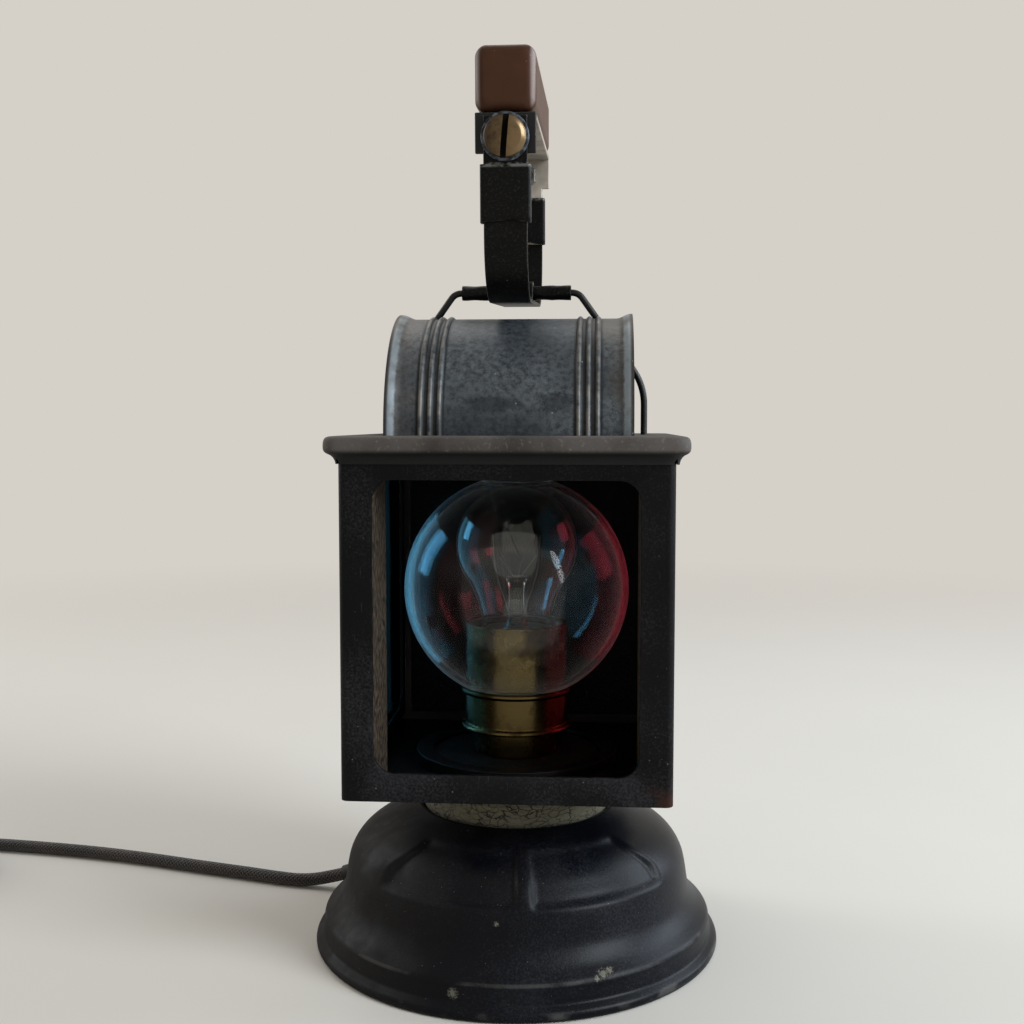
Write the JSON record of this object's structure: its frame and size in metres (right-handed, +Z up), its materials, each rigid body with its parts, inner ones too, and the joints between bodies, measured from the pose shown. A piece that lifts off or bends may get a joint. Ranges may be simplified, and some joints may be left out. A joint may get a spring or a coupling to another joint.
{
  "type": "railroad lantern",
  "caption": "Square railway hand lantern with windows, ventilated hood, wire bail and strap handle, wired as a mains lamp with a bulb in a clear globe.",
  "frame": {"origin": "centre of the base's underside, on the surface it stands on", "axes": "+Z up, -Y towards the open front window, +X towards the red pane"},
  "size_m": [0.3893, 0.147, 0.3105],
  "materials": {
    "black_paint": "semi-gloss black paint, worn pale on the rim step",
    "collar_paint": "old cream paint with dark cracks",
    "brass": "aged, dull gold brown",
    "steel": "dull grey steel",
    "porcelain": "glazed white porcelain",
    "dark_ring": "dark red brown moulding",
    "clear_glass": "clear",
    "blue_glass": "blue signal glass",
    "red_glass": "red signal glass",
    "case_paint": "matte blue black paint with white specks and rust at a corner",
    "lid_paint": "dusty rust brown",
    "hood_metal": "mottled blue grey patina on thin black paint",
    "black_steel": "matte black with worn edges",
    "grip_moulding": "brown moulded resin with pale specks",
    "plug_moulding": "dark brown moulded resin",
    "rubber": "black rubber",
    "textile": "dark brown braided textile"
  },
  "bodies": {
    "base": {"base_shell": "black_paint", "base_bottom_plate": "black_paint", "neck_collar": "collar_paint", "holder_pedestal": "brass", "threaded_nipple": "steel", "nipple_nut": "steel", "holder_cup": "brass", "holder_sleeve": "brass", "holder_insulator": "porcelain", "screw_shell": "brass", "centre_contact": "brass", "holder_ring": "dark_ring", "globe_seat_ring": "brass", "glass_globe": "clear_glass", "cord_grommet": "rubber", "inner_lead": "textile", "flex_cord": "textile", "cord_coil": "textile", "cord_tail": "textile", "plug_body": "plug_moulding", "plug_pin_left": "brass", "plug_pin_right": "brass"},
    "bulb": {"bulb_envelope": "clear_glass", "bulb_cap": "steel", "bulb_contact": "brass", "bulb_stem": "clear_glass", "filament": "steel"},
    "lamp_case": {"case_wrap": "case_paint", "case_collar": "case_paint", "front_guide_left": "case_paint", "front_guide_right": "case_paint", "blue_pane": "blue_glass", "red_pane": "red_glass", "blue_pane_frame": "case_paint", "red_pane_frame": "case_paint", "lid": "lid_paint", "hood": "hood_metal", "hood_baffle_left": "hood_metal", "hood_baffle_right": "hood_metal", "bail": "black_steel", "bail_ferrule": "black_steel", "bail_nut_left": "steel", "bail_nut_right": "steel", "hinge_pin": "steel", "hinge_leaf": "case_paint"},
    "door": {"door_panel": "case_paint", "door_hinge_leaf": "case_paint", "door_knob": "brass"},
    "handle": {"grip": "grip_moulding", "handle_frame": "steel", "handle_strap": "black_steel", "sleeve_front": "black_steel", "sleeve_back": "black_steel", "screw_front": "brass", "screw_back": "brass", "washer_front": "steel", "washer_back": "steel", "screw_nut_front": "steel", "screw_nut_back": "steel", "saddle_clip": "black_steel"}
  },
  "joints": [
    {"name": "case_twist", "type": "hinge", "parent": "base", "child": "lamp_case", "pos_m": [0, 0, 0.0638], "axis": [0, 0, 1], "range_deg": [0, 30]},
    {"name": "bulb_turn", "type": "hinge", "parent": "base", "child": "bulb", "pos_m": [0, 0, 0.1], "axis": [0, 0, 1], "continuous": true},
    {"name": "door_swing", "type": "hinge", "parent": "lamp_case", "child": "door", "pos_m": [-0.0528, 0.0573, 0.1202], "axis": [0, 0, 1], "range_deg": [0, 110]},
    {"name": "handle_tilt", "type": "hinge", "parent": "lamp_case", "child": "handle", "pos_m": [0, 0, 0.2335], "axis": [1, 0, 0], "range_deg": [-29, 21]}
  ]
}
